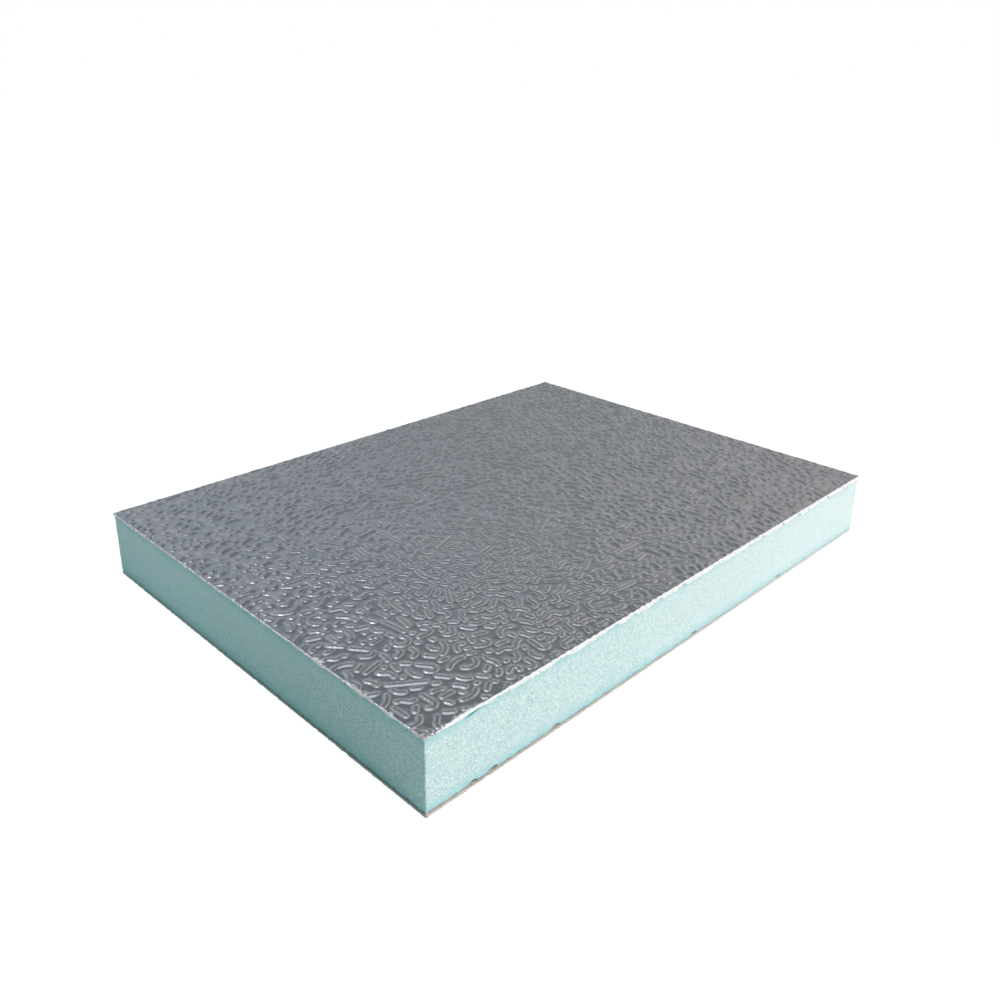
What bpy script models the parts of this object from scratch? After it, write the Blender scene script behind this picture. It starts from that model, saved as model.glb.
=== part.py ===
"""Polyiso insulation board: a cut sample that lies flat, foil side up.

A rigid foam core lies between a thin lower facing and an aluminium foil facing. The saw dragged the
foil down over two of the cut sides: a lip that deepens along the long front side, and a short burr
along the left side.

Metres, +Z up. X runs along the long side and Y along the short side, and the long front side faces
-Y. The origin is at the middle of the underside.
"""

import math

import bmesh
import bpy
from mathutils import Matrix, Vector

# The layers
BOARD_LENGTH = 0.200
BOARD_WIDTH = 0.150
FOAM_THICKNESS = 0.020
LOWER_FACING_THICKNESS = 0.0007
FOIL_THICKNESS = 0.0003
BOND_GAP = 0.0003
FOAM_EDGE_BREAK = 0.00015
FACING_EDGE_BREAK = 0.0001

# The foil's turned-down edges
BEND_RADIUS = 0.0001
BEND_STEPS = 3
LIP_PITCH = 0.00125
FRONT_LIP_NEAR_DEPTH = 0.0010
FRONT_LIP_FAR_DEPTH = 0.0016
FRONT_LIP_WAVE = 0.00026
LEFT_LIP_DEPTH = 0.00065
LEFT_LIP_WAVE = 0.0001
LEAST_LIP_DEPTH = 0.00055
LONG_WAVELENGTH = 0.0173
LONG_WAVE_SHARE = 0.6
SHORT_WAVELENGTH = 0.0051
SHORT_WAVE_PHASE = 1.3
SAME_PLACE = 0.000001

# The breaks in the front lip, measured from the near corner
LIP_BREAKS = (0.0215, 0.0640, 0.0935, 0.1355, 0.1475, 0.1580, 0.1770)
LIP_BREAK_WIDTH = 0.0011
LIP_BREAK_SHARE = 0.75

# The chips that the saw left along the foam's lower front edge, measured from the near corner
EDGE_CHIPS = (0.0139, 0.0204, 0.0419, 0.1015, 0.1490)
CHIP_LENGTH = 0.0032
CHIP_HEIGHT = 0.0016
CHIP_DEPTH = 0.0010
CHIP_TURN = 1.1

# The knife nick in the foam's front face, close under the foil
NICK_PLACE = 0.0139
NICK_LENGTH = 0.0054
NICK_WIDTH = 0.0007
NICK_DEPTH = 0.0009
NICK_TILT = math.radians(8)
NICK_BELOW_FOAM_TOP = 0.0012

# Heights of the layers, from the underside up
FOAM_BOTTOM = LOWER_FACING_THICKNESS + BOND_GAP
FOAM_TOP = FOAM_BOTTOM + FOAM_THICKNESS
FOIL_TOP = FOAM_TOP + BOND_GAP + FOIL_THICKNESS

# The foam's cut sides
FOAM_LEFT = -BOARD_LENGTH / 2
FOAM_FRONT = -BOARD_WIDTH / 2


def clear_scene():
    for thing in list(bpy.data.objects):
        bpy.data.objects.remove(thing, do_unlink=True)


def new_collection(name):
    collection = bpy.data.collections.new(name)
    bpy.context.scene.collection.children.link(collection)
    return collection


def new_material(name, colour, roughness, metallic):
    material = bpy.data.materials.new(name)
    material.use_nodes = True
    shader = material.node_tree.nodes["Principled BSDF"]
    shader.inputs["Base Color"].default_value = (*colour, 1.0)
    shader.inputs["Roughness"].default_value = roughness
    shader.inputs["Metallic"].default_value = metallic
    material.diffuse_color = (*colour, 1.0)
    return material


def move_to(collection, thing):
    for holder in list(thing.users_collection):
        holder.objects.unlink(thing)
    collection.objects.link(thing)


def add_block(name, size, centre, edge_break, material, collection):
    """A cut block of board-shaped stock, with its sharp edges just broken."""
    bpy.ops.mesh.primitive_cube_add(size=1)
    block = bpy.context.active_object
    block.name = name
    block.data.name = name
    block.data.transform(Matrix.Diagonal((*size, 1.0)))
    block.location = centre
    block.data.materials.append(material)
    bevel = block.modifiers.new("broken_edges", "BEVEL")
    bevel.width = edge_break
    bevel.segments = 1
    bevel.limit_method = "ANGLE"
    move_to(collection, block)
    return block


def as_cutter(cutter, name, collection):
    cutter.name = name
    cutter.data.name = name
    cutter.hide_render = True
    cutter.display_type = "WIRE"
    move_to(collection, cutter)
    return cutter


def cut(piece, cutter):
    boolean = piece.modifiers.new(cutter.name, "BOOLEAN")
    boolean.operation = "DIFFERENCE"
    boolean.object = cutter


def add_chip_cutter(index, place, collection):
    """A faceted lump that bites into the lower front edge, each one turned differently."""
    bpy.ops.mesh.primitive_ico_sphere_add(subdivisions=1, radius=1)
    chip = bpy.context.active_object
    half_sizes = (CHIP_LENGTH / 2, CHIP_DEPTH, CHIP_HEIGHT / 2)
    chip.data.transform(Matrix.Rotation(index * CHIP_TURN, 4, "Z"))
    chip.data.transform(Matrix.Diagonal((*half_sizes, 1.0)))
    chip.location = (FOAM_LEFT + place, FOAM_FRONT, FOAM_BOTTOM)
    return as_cutter(chip, f"edge_chip_cutter_{index + 1}", collection)


def add_nick_cutter(collection):
    """A slim double wedge, as the knife's point leaves it, leaning towards the foil."""
    bpy.ops.mesh.primitive_cone_add(vertices=4, radius1=1, radius2=0, depth=1)
    nick = bpy.context.active_object
    tip_inwards = Matrix.Rotation(math.radians(-90), 4, "X")
    opening = Matrix.Diagonal((NICK_LENGTH / 2, 2 * NICK_DEPTH, NICK_WIDTH / 2, 1.0))
    lean = Matrix.Rotation(-NICK_TILT, 4, "Y")
    nick.data.transform(lean @ opening @ tip_inwards)
    nick.location = (FOAM_LEFT + NICK_PLACE, FOAM_FRONT, FOAM_TOP - NICK_BELOW_FOAM_TOP)
    return as_cutter(nick, "knife_nick_cutter", collection)


def build_foam_core(parts, cutters):
    material = new_material("foam_core", (0.60, 0.80, 0.80), 0.85, 0.0)
    size = (BOARD_LENGTH, BOARD_WIDTH, FOAM_THICKNESS)
    centre = (0, 0, (FOAM_BOTTOM + FOAM_TOP) / 2)
    foam = add_block("foam_core", size, centre, FOAM_EDGE_BREAK, material, parts)
    for index, place in enumerate(EDGE_CHIPS):
        cut(foam, add_chip_cutter(index, place, cutters))
    cut(foam, add_nick_cutter(cutters))


def build_lower_facing(parts):
    material = new_material("lower_facing", (0.54, 0.50, 0.44), 0.9, 0.0)
    size = (BOARD_LENGTH, BOARD_WIDTH, LOWER_FACING_THICKNESS)
    centre = (0, 0, LOWER_FACING_THICKNESS / 2)
    add_block("lower_facing", size, centre, FACING_EDGE_BREAK, material, parts)


def ripple(distance):
    """The uneven run of a torn edge, from -1 to 1."""
    long_wave = math.sin(2 * math.pi * distance / LONG_WAVELENGTH)
    short_wave = math.sin(2 * math.pi * distance / SHORT_WAVELENGTH + SHORT_WAVE_PHASE)
    return LONG_WAVE_SHARE * long_wave + (1 - LONG_WAVE_SHARE) * short_wave


def front_lip_depth(point):
    """How far the front lip reaches below the foil: deeper towards the right, and broken in places."""
    along = point.x - FOAM_LEFT
    share = along / BOARD_LENGTH
    depth = FRONT_LIP_NEAR_DEPTH + share * (FRONT_LIP_FAR_DEPTH - FRONT_LIP_NEAR_DEPTH)
    depth += FRONT_LIP_WAVE * ripple(along)
    for place in LIP_BREAKS:
        nearness = math.exp(-(((along - place) / LIP_BREAK_WIDTH) ** 2))
        depth -= nearness * LIP_BREAK_SHARE * (depth - LEAST_LIP_DEPTH)
    return depth


def left_lip_depth(point):
    return LEFT_LIP_DEPTH + LEFT_LIP_WAVE * ripple(point.y - FOAM_FRONT)


def turn_down(bm, row, outward, depth_at):
    """Draws a row of the sheet's edges round the bend and down over the foam's cut side."""
    radius = BEND_RADIUS + FOIL_THICKNESS
    turned = 0.0
    for step in range(1, BEND_STEPS + 1):
        angle = step / BEND_STEPS * math.pi / 2
        out = radius * (math.sin(angle) - math.sin(turned))
        down = radius * (math.cos(turned) - math.cos(angle))
        row = draw_row(bm, row)
        for vertex in vertices_of(row):
            vertex.co += out * outward + Vector((0, 0, -down))
        turned = angle
    row = draw_row(bm, row)
    for vertex in vertices_of(row):
        depth = max(depth_at(vertex.co), LEAST_LIP_DEPTH, radius)
        vertex.co.z = FOIL_TOP - depth


def draw_row(bm, row):
    drawn = bmesh.ops.extrude_edge_only(bm, edges=row)["geom"]
    return [item for item in drawn if isinstance(item, bmesh.types.BMEdge)]


def vertices_of(row):
    return {vertex for edge in row for vertex in edge.verts}


def split_side(bm, side, length):
    """Splits one side of the sheet at the lip's pitch and returns its edges."""
    others = set(bm.edges) - {side}
    bmesh.ops.bisect_edges(bm, edges=[side], cuts=round(length / LIP_PITCH) - 1)
    return [edge for edge in bm.edges if edge not in others]


def clear_of_corner(row, corner):
    """The edges that turn down: the one at the near corner stays flat, so that the two lips part."""
    return [edge for edge in row if all((vertex.co - corner).length > SAME_PLACE for vertex in edge.verts)]


def build_foil_facing(parts):
    """The foil as an open sheet, its outer face as modelled and its thickness inwards."""
    sheet_left = FOAM_LEFT - BOND_GAP + BEND_RADIUS
    sheet_front = FOAM_FRONT - BOND_GAP + BEND_RADIUS
    sheet_right = -FOAM_LEFT
    sheet_back = -FOAM_FRONT
    length = sheet_right - sheet_left
    width = sheet_back - sheet_front
    middle = Vector(((sheet_left + sheet_right) / 2, (sheet_front + sheet_back) / 2, FOIL_TOP))
    corner = Vector((sheet_left, sheet_front, FOIL_TOP))

    bm = bmesh.new()
    bmesh.ops.create_grid(bm, x_segments=1, y_segments=1, size=0.5)
    bmesh.ops.scale(bm, vec=(length, width, 1), verts=bm.verts)
    bmesh.ops.translate(bm, vec=middle, verts=bm.verts)
    front_side = min(bm.edges, key=lambda edge: sum(vertex.co.y for vertex in edge.verts))
    left_side = min(bm.edges, key=lambda edge: sum(vertex.co.x for vertex in edge.verts))
    front_row = clear_of_corner(split_side(bm, front_side, length), corner)
    left_row = clear_of_corner(split_side(bm, left_side, width), corner)
    turn_down(bm, front_row, Vector((0, -1, 0)), front_lip_depth)
    turn_down(bm, left_row, Vector((-1, 0, 0)), left_lip_depth)
    mesh = bpy.data.meshes.new("foil_facing")
    bm.to_mesh(mesh)
    bm.free()

    foil = bpy.data.objects.new("foil_facing", mesh)
    parts.objects.link(foil)
    mesh.materials.append(new_material("foil_facing", (0.80, 0.81, 0.83), 0.3, 1.0))
    thickness = foil.modifiers.new("foil_thickness", "SOLIDIFY")
    thickness.thickness = FOIL_THICKNESS
    thickness.offset = -1
    thickness.use_even_offset = True


def main():
    clear_scene()
    parts = new_collection("polyiso_insulation_board")
    cutters = new_collection("cutters")
    build_lower_facing(parts)
    build_foam_core(parts, cutters)
    build_foil_facing(parts)


main()
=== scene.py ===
"""The looks of the polyiso insulation board: embossed foil, cut foam and felt, on a pale floor.

Metres, +Z up. X runs along the long side from the near corner, and Y along the short side. The foil is
laid out flat first, with its ridges and its torn edges, and is then rolled down over the two near sides.
"""

import math
import random

import bpy
import numpy as np
from mathutils import Matrix, Vector, kdtree
from mathutils.geometry import delaunay_2d_cdt


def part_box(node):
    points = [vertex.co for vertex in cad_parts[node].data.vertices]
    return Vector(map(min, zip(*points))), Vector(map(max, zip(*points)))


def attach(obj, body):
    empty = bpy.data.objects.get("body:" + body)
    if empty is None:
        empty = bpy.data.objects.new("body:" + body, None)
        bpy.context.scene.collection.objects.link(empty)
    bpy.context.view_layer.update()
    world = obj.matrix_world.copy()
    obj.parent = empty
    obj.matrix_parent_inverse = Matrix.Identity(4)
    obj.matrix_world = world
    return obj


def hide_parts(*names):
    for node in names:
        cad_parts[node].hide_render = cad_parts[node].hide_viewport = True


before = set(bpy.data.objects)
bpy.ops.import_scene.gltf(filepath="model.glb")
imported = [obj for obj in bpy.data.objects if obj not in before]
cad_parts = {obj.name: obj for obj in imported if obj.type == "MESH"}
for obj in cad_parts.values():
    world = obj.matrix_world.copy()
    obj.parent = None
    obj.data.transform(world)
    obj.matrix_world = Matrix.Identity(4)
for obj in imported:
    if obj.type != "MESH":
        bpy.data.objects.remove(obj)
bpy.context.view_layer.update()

# The camera, fitted to the board's corners in the photograph
CAMERA_PLACE = Vector((-0.20320, -0.20014, 0.15032))
CAMERA_AIM = Vector((0.02510, 0.02379, 0.03485))
CAMERA_ROLL = math.radians(0.75)
CAMERA_LENS = 33.7
CAMERA_SHIFT = (-0.01, -0.08)
CAMERA_SENSOR = 36.0

# The layers, from the frame
FOAM_LOW, FOAM_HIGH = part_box("foam_core")
FOIL_LOW, FOIL_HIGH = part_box("foil_facing")
FELT_LOW, FELT_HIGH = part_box("lower_facing")
NEAR_CORNER = Vector((FOAM_LOW.x, FOAM_LOW.y, 0))

# The ridges embossed in the foil
RIDGE_SPACING = 0.00205
RIDGE_SELF_SPACING = 0.0020
RIDGE_TAIL = 6
RIDGE_STEP = 0.0004
RIDGE_TIGHTEST_BEND = 0.0010
RIDGE_TURNS_ASIDE = (0, 0.35, -0.35, 0.7, -0.7, 1, -1)
RIDGE_GROWN_SHARE = 0.8
RIDGE_HALF_WIDTH = (0.00100, 0.00114)
RIDGE_STEEPNESS = 0.235
RIDGE_HEIGHT = RIDGE_STEEPNESS * RIDGE_HALF_WIDTH[1]
RIDGE_LEVELS = (0.12, 0.36, 0.58, 0.78, 0.96)
RIDGE_FINE_STEP = 0.0001
RIDGE_LOOP_TOLERANCE = RIDGE_STEP / 8
RIDGE_SEED = 11
GROUND_CELL = 0.00025
GROUND_MARGIN = 0.003

# Near the foil's edges the ridges are lower: their share of the height there, and how far in that goes
EDGE_RIDGE_SHARE = 0.4
EDGE_RIDGE_REACH = 0.0007

# The ridges' shortest and longest lengths, and how many are tried
RIDGE_LENGTHS = (
    (0.0068, 0.0100, 170),
    (0.0038, 0.0066, 1200),
    (0.0024, 0.0040, 1600),
    (0.0008, 0.0022, 1200),
)

# A ridge is straight, an arc, a wavy line or else a hook, by a number drawn from 0 to 1
STRAIGHT_BELOW = 0.16
ARC_BELOW = 0.42
WAVY_BELOW = 0.70
ARC_RADIUS = (0.0018, 0.0055)
WAVY_STRETCH = (0.0020, 0.0036)
WAVY_RADIUS = (0.0011, 0.0022)
HOOK_START = (0.3, 0.65)
HOOK_RADIUS = (0.0010, 0.0014)

# The foil's turned-down edges, with places measured from the near corner
BEND_RADIUS = 0.00033
BOX_CLEARANCE = 0.00003
TOP_CLEARANCE = 0.00001
FOIL_EDGE = 0.0001
LIP_NEAR_DEPTH = 0.00095
LIP_FAR_DEPTH = 0.0020
LEAST_LIP_DEPTH = 0.00042
LIP_WAVES = ((0.00026, 0.0150), (0.00014, 0.0045), (0.00008, 0.0015), (0.00004, 0.0006))
BURR_DEPTH = 0.00050
LEAST_BURR_DEPTH = 0.00036
BURR_WAVES = ((0.00010, 0.0120), (0.00013, 0.0040), (0.00010, 0.0014), (0.00004, 0.0006))
LIP_GRAIN = 0.00022
EDGE_SEED = 5

# The breaks in the front lip: place and half length, and how far each one shortens it
LIP_BREAKS = (
    (0.0018, 0.0030),
    (0.0140, 0.0042),
    (0.0215, 0.0009),
    (0.0640, 0.0009),
    (0.0935, 0.0009),
    (0.1355, 0.0010),
    (0.1475, 0.0009),
    (0.1580, 0.0010),
    (0.1770, 0.0011),
)
BREAK_SHARE = 0.9
BROKEN_DEPTH = 0.0004

# The folds in the left burr: place, half length and reach, and the share of it that lengthens the burr
BURR_FOLDS = (
    (0.0112, 0.0013, 0.0005),
    (0.0222, 0.0024, 0.0005),
    (0.0385, 0.0016, 0.0010),
    (0.0620, 0.0008, 0.0004),
    (0.1040, 0.0009, 0.0006),
    (0.1290, 0.0009, 0.0006),
)
FOLD_SHARE = 0.7

# Where the foil is torn and scuffed before its bends and at the back edge
TORN_FADE = (-0.00015, 0.00025)
TORN_FRONT_SWAY = 0.00010
TORN_FRONT_WAVELENGTH = 0.0040
TORN_FOLD_PLACE = 0.0110
TORN_FOLD_HALF_LENGTH = 0.0050
TORN_FOLD_REACH = 0.0004
SOUND_CORNER_HALF_LENGTH = 0.0045
SOUND_CORNER_REACH = 0.0009
SOUND_CORNER_LEAST = 0.6
SOUND_CORNER_WAVELENGTH = 0.0010
TORN_LEFT_INSET = 0.00006
TORN_LEFT_SWAY = 0.00030
TORN_LEFT_WAVELENGTH = 0.0026
BACK_FRAYS = (0.0616, 0.0716, 0.0970, 0.1090, 0.1850)
BACK_FRAY_INSET = 0.0002
BACK_FRAY_HALF_LENGTH = 0.0007
BACK_FRAY_REACH = 0.0005

# How the saw crumpled the edges: pressed in past the bends, raised before them and most at the near corner
CRUMPLE_REACH = 0.0028
CRUMPLE_FOLD_WAVELENGTH = 0.0022
CRUMPLE_GRAIN_WAVELENGTH = 0.0007
PRESSED_START = (-0.0003, 0.0008)
PRESSED_DEPTH = 0.00018
PRESSED_FOLDS = 0.00012
PRESSED_GRAIN = 0.00008
PRESSED_RIM = 0.00010
PRESSED_RIM_START = (0.0006, 0.0014)
PRESSED_MOST = 0.0004
RAISED_END = (0.0003, -0.0001)
RAISED_FOLDS = 0.00013
RAISED_GRAIN = 0.00010
CORNER_CRUMPLE_REACH = 0.0034
CORNER_CRUMPLE_HEIGHT = 0.00022
CORNER_CRUMPLE_WAVELENGTH = 0.0016

# The sheet's slow sway
SHEET_SWAY = 0.00001
SHEET_SWAY_WAVELENGTH = 0.012

# The points of the foil's mesh
SHEET_POINT_SPACING = 0.00033
FIELD_POINT_SPACING = 0.0011
FIELD_CLEARANCE = 0.0002
OUTLINE_POINT_SPACING = 0.00015
OUTLINE_CORNER_POINTS = 8
SCATTER = 0.35
SAME_PLACE = 1e-7
RIM_TOLERANCE = 0.00001
SLOPE_STEP = 0.00002
FOIL_TILES = 4

# How far the fine points along the turned-down edges go past the bends and before them
FRONT_GRAIN_REACH = (0.0025, 0.0004)
LEFT_GRAIN_REACH = (0.0015, 0.0006)

# How a wave's parts spread about its wavelength, and its level
WAVE_SPREAD = (0.6, 1.7)
WAVE_LEVEL = 0.6


class Wave:
    """Smooth seeded unevenness from -1 to 1 or so, over one or more coordinates."""

    def __init__(self, seed, wavelength, axes=2, count=14):
        rng = np.random.default_rng(seed)
        direction = rng.normal(size=(count, axes))
        direction /= np.linalg.norm(direction, axis=1)[:, None]
        spread = rng.uniform(*WAVE_SPREAD, count)
        self.pull = direction * (2 * math.pi / wavelength * spread)[:, None]
        self.phase = rng.uniform(0, 2 * math.pi, count)
        self.share = math.sqrt(2.0 / count)

    def __call__(self, *coordinates):
        points = np.stack(np.broadcast_arrays(*coordinates), axis=-1)
        return self.share * np.sin(points @ self.pull.T + self.phase).sum(axis=-1) * WAVE_LEVEL


def smooth_step(low, high, value):
    share = np.clip((value - low) / (high - low), 0.0, 1.0)
    return share * share * (3 - 2 * share)


# The foil laid out flat: u and v are x and y on the upper face, and go on past the bends.
SHEET_HEIGHT = FOIL_HIGH.z - RIDGE_HEIGHT - TOP_CLEARANCE
LEFT_BEND = FOIL_LOW.x + BEND_RADIUS + BOX_CLEARANCE
FRONT_BEND = FOIL_LOW.y + BEND_RADIUS + BOX_CLEARANCE
BEND_LENGTH = BEND_RADIUS * math.pi / 2


class Ground:
    """Which places on the flat foil are too near a ridge for another one."""

    def __init__(self):
        self.left = FOIL_LOW.x - GROUND_MARGIN
        self.front = FOIL_LOW.y - GROUND_MARGIN
        self.columns = round((FOIL_HIGH.x + GROUND_MARGIN - self.left) / GROUND_CELL)
        self.rows = round((FOIL_HIGH.y + GROUND_MARGIN - self.front) / GROUND_CELL)
        self.taken = np.zeros((self.columns, self.rows), bool)
        reach = math.ceil(RIDGE_SPACING / GROUND_CELL)
        across, along = np.mgrid[-reach : reach + 1, -reach : reach + 1]
        inside = across**2 + along**2 < (RIDGE_SPACING / GROUND_CELL) ** 2
        self.disc = across[inside], along[inside]

    def cell(self, place):
        return int((place[0] - self.left) / GROUND_CELL), int((place[1] - self.front) / GROUND_CELL)

    def is_free(self, place):
        column, row = self.cell(place)
        return 0 <= column < self.columns and 0 <= row < self.rows and not self.taken[column, row]

    def take(self, spine):
        for place in spine:
            column, row = self.cell(place)
            columns = np.clip(column + self.disc[0], 0, self.columns - 1)
            rows = np.clip(row + self.disc[1], 0, self.rows - 1)
            self.taken[columns, rows] = True

    def places(self, rng):
        """Every free cell's middle, in a random order."""
        columns, rows = np.nonzero(~self.taken)
        order = list(range(len(columns)))
        rng.shuffle(order)
        for index in order:
            place = (
                self.left + (columns[index] + 0.5) * GROUND_CELL,
                self.front + (rows[index] + 0.5) * GROUND_CELL,
            )
            if self.is_free(place):
                yield place


def draw_bends(rng, length):
    """A ridge's course: the distances at which its stretches end, and their curvatures."""
    side = rng.choice((-1, 1))
    kind = rng.random()
    if kind < STRAIGHT_BELOW:
        return [(length, 0.0)]
    if kind < ARC_BELOW:
        return [(length, side / rng.uniform(*ARC_RADIUS))]
    if kind < WAVY_BELOW:
        bends, reached = [], 0.0
        while reached < length:
            reached += rng.uniform(*WAVY_STRETCH)
            bends.append((reached, side / rng.uniform(*WAVY_RADIUS)))
            side = -side
        return bends
    first = length * rng.uniform(*HOOK_START)
    return [(first, 0.0), (length, side / rng.uniform(*HOOK_RADIUS))]


def grow_spine(ground, rng, place, length):
    """Follows the drawn bends from a place, turning aside from what is taken, until nothing is free."""
    heading = rng.uniform(0, 2 * math.pi)
    bends = draw_bends(rng, length)
    most = RIDGE_STEP / RIDGE_TIGHTEST_BEND
    spine = [place]
    travelled = 0.0
    while travelled < length:
        turn = next((bend for end, bend in bends if travelled < end), 0.0) * RIDGE_STEP
        for aside in RIDGE_TURNS_ASIDE:
            angle = heading + max(-most, min(most, turn + aside * most))
            step = (place[0] + RIDGE_STEP * math.cos(angle), place[1] + RIDGE_STEP * math.sin(angle))
            own = all(math.dist(step, other) > RIDGE_SELF_SPACING for other in spine[:-RIDGE_TAIL])
            if own and ground.is_free(step):
                break
        else:
            break
        heading, place = angle, step
        spine.append(place)
        travelled += RIDGE_STEP
    return spine


def grow_spines():
    """The middle lines of all ridges, the long ones first and short ones in what is left."""
    rng = random.Random(RIDGE_SEED)
    ground = Ground()
    spines = []
    for shortest, longest, tries in RIDGE_LENGTHS:
        for _, place in zip(range(tries), ground.places(rng)):
            spine = grow_spine(ground, rng, place, rng.uniform(shortest, longest))
            if len(spine) > RIDGE_GROWN_SHARE * shortest / RIDGE_STEP:
                spines.append(np.array(spine))
                ground.take(spine)
    return spines


def resampled(line, spacing):
    """A line with evenly spaced points on a smooth curve through its own."""
    for _ in range(2):
        line = np.vstack([line[:1], (line[:-2] + 2 * line[1:-1] + line[2:]) / 4, line[-1:]])
    reach = np.concatenate([[0], np.cumsum(np.linalg.norm(np.diff(line, axis=0), axis=1))])
    count = max(3, round(reach[-1] / spacing) + 1)
    places = np.linspace(0, reach[-1], count)
    return np.stack([np.interp(places, reach, line[:, axis]) for axis in (0, 1)], axis=1)


def outline_of(spine, distance):
    """The closed loop at a distance round a spine, with round ends."""
    ahead = np.gradient(spine, axis=0)
    ahead /= np.linalg.norm(ahead, axis=1)[:, None]
    left = np.stack([-ahead[:, 1], ahead[:, 0]], axis=1)
    turns = np.linspace(0, math.pi, max(4, round(math.pi * distance / SHEET_POINT_SPACING) + 1))[1:-1, None]
    far_cap = spine[-1] + distance * (np.cos(turns) * left[-1] + np.sin(turns) * ahead[-1])
    near_cap = spine[0] - distance * (np.cos(turns) * left[0] + np.sin(turns) * ahead[0])
    return np.vstack([spine + distance * left, far_cap, (spine - distance * left)[::-1], near_cap])


class Ridges:
    """All ridges of the foil and the height that they give it."""

    def __init__(self):
        rng = random.Random(RIDGE_SEED + 1)
        self.spines = grow_spines()
        self.half_widths = np.array([rng.uniform(*RIDGE_HALF_WIDTH) for _ in self.spines])
        fine = [resampled(spine, RIDGE_FINE_STEP) for spine in self.spines]
        self.owners = np.repeat(np.arange(len(fine)), [len(line) for line in fine])
        self.tree = kdtree.KDTree(len(self.owners))
        for index, place in enumerate(np.vstack(fine)):
            self.tree.insert((place[0], place[1], 0), index)
        self.tree.balance()

    def relief(self, flat):
        """The height that the ridges give each flat point, and its slopes along u and v."""
        found = [self.tree.find((place[0], place[1], 0)) for place in flat]
        nearest = np.array([tuple(item[0])[:2] for item in found])
        distance = np.array([item[2] for item in found])
        owner = self.owners[[item[1] for item in found]]
        half_width = self.half_widths[owner]
        share = np.minimum(distance / half_width, 1)
        u, v = flat.T
        from_bends = np.minimum(u - LEFT_BEND, v - FRONT_BEND)
        from_cuts = np.minimum(FOIL_HIGH.x - u, FOIL_HIGH.y - v)
        inside = smooth_step(0, EDGE_RIDGE_REACH, np.minimum(from_bends, from_cuts))
        full = RIDGE_STEEPNESS * half_width * (EDGE_RIDGE_SHARE + (1 - EDGE_RIDGE_SHARE) * inside)
        steepness = 3 * full / half_width * (share - share**5)
        away = (flat - nearest) / np.maximum(distance, 1e-9)[:, None]
        return full * (1 - 1.5 * share**2 + 0.5 * share**6), -steepness[:, None] * away

    def loops(self):
        """The lines round each ridge that the mesh has points on, up to where they meet its neighbours'."""
        for spine, half_width in zip(self.spines, self.half_widths):
            middle = resampled(spine, SHEET_POINT_SPACING)
            for share in RIDGE_LEVELS:
                loop = outline_of(middle, share * half_width)
                gaps = np.array([self.tree.find((u, v, 0))[2] for u, v in loop])
                yield loop, gaps > share * half_width - RIDGE_LOOP_TOLERANCE


def bump_at(along, place, half_length):
    """1 at a place along an edge, fading to both sides."""
    return np.exp(-(((along - place) / half_length) ** 2))


def front_edge(u):
    """How far the foil's torn front edge lies past the bend."""
    along = u - NEAR_CORNER.x
    share = np.clip(along / (FOAM_HIGH.x - FOAM_LOW.x), 0, 1)
    depth = LIP_NEAR_DEPTH + share * (LIP_FAR_DEPTH - LIP_NEAR_DEPTH)
    for weight, wavelength in LIP_WAVES:
        depth = depth + weight * Wave(EDGE_SEED, wavelength, axes=1)(u)
    for place, half_length in LIP_BREAKS:
        depth = depth - BREAK_SHARE * (depth - BROKEN_DEPTH) * bump_at(along, place, half_length)
    return np.maximum(depth, LEAST_LIP_DEPTH) - BEND_RADIUS + BEND_LENGTH


def left_edge(v):
    """How far the foil's torn left edge lies past the bend."""
    along = v - NEAR_CORNER.y
    depth = BURR_DEPTH + 0 * v
    for weight, wavelength in BURR_WAVES:
        depth = depth + weight * Wave(EDGE_SEED + 1, wavelength, axes=1)(v)
    for place, half_length, reach in BURR_FOLDS:
        depth = depth + FOLD_SHARE * reach * bump_at(along, place, half_length)
    return np.maximum(depth, LEAST_BURR_DEPTH) - BEND_RADIUS + BEND_LENGTH


def corner_edge(share):
    """The torn edge round the near corner, from the left edge at 0 to the front edge at 1."""
    return (1 - share) * left_edge(np.array([FRONT_BEND])) + share * front_edge(np.array([LEFT_BEND]))


def room(flat):
    """How far each flat point lies inside the foil's edge."""
    u, v = flat.T
    left, front = LEFT_BEND - u, FRONT_BEND - v
    inside = np.minimum(left_edge(v) - left, front_edge(u) - front)
    share = np.arctan2(front, left) / (math.pi / 2)
    round_corner = corner_edge(share) - np.hypot(left, front)
    inside = np.where((left > 0) & (front > 0), round_corner, inside)
    return np.minimum(inside, np.minimum(FOIL_HIGH.x - u, FOIL_HIGH.y - v))


def torn(flat):
    """From 0 on the sound foil to 1 where the saw tore it: past the bends and a little before them."""
    u, v = flat.T
    along = u - NEAR_CORNER.x
    front_wave = Wave(EDGE_SEED + 7, TORN_FRONT_WAVELENGTH, axes=1)
    front = FRONT_BEND - v + TORN_FRONT_SWAY * (1 + front_wave(u))
    front = front + TORN_FOLD_REACH * bump_at(along, TORN_FOLD_PLACE, TORN_FOLD_HALF_LENGTH)
    at_corner = bump_at(along, 0, SOUND_CORNER_HALF_LENGTH)
    corner_wave = Wave(EDGE_SEED + 9, SOUND_CORNER_WAVELENGTH)
    front = front - SOUND_CORNER_REACH * at_corner * (SOUND_CORNER_LEAST + corner_wave(u, v))
    left_wave = Wave(EDGE_SEED + 8, TORN_LEFT_WAVELENGTH, axes=1)
    left = LEFT_BEND - u - TORN_LEFT_INSET + TORN_LEFT_SWAY * left_wave(v)
    for place, half_length, reach in BURR_FOLDS:
        left = left + reach * bump_at(v - NEAR_CORNER.y, place, half_length)
    back = v - FOIL_HIGH.y - BACK_FRAY_INSET
    for place in BACK_FRAYS:
        back = back + BACK_FRAY_REACH * bump_at(along, place, BACK_FRAY_HALF_LENGTH)
    return smooth_step(*TORN_FADE, np.maximum(np.maximum(front, left), back))


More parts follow.
